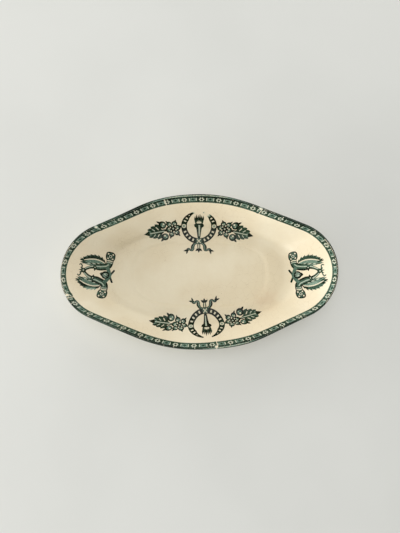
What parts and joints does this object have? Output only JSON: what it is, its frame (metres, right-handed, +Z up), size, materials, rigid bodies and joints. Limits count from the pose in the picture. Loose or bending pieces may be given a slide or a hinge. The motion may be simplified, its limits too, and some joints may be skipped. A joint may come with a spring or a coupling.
{
  "type": "appetizer dish",
  "caption": "Boat-shaped oval appetizer dish in cream glazed earthenware, standing on a foot ring, with green printed wreaths, horns and a rosette border inside.",
  "frame": {"origin": "centre of the plane that the foot ring stands on", "axes": "+X along the dish, +Y across it towards the upper wreath, +Z up out of the dish"},
  "size_m": [0.235, 0.133, 0.036],
  "materials": {
    "cream_glaze": "clear glossy glaze over cream earthenware",
    "green_print": "dark green print under the same clear glaze"
  },
  "bodies": {
    "root": {"dish_body": "cream_glaze", "foot_ring": "cream_glaze", "border_transfer_1": "green_print", "border_transfer_2": "green_print", "border_transfer_3": "green_print", "border_transfer_4": "green_print", "wreath_transfer_upper": "green_print", "wreath_transfer_lower": "green_print", "horn_transfer_left": "green_print", "horn_transfer_right": "green_print"}
  },
  "joints": []
}
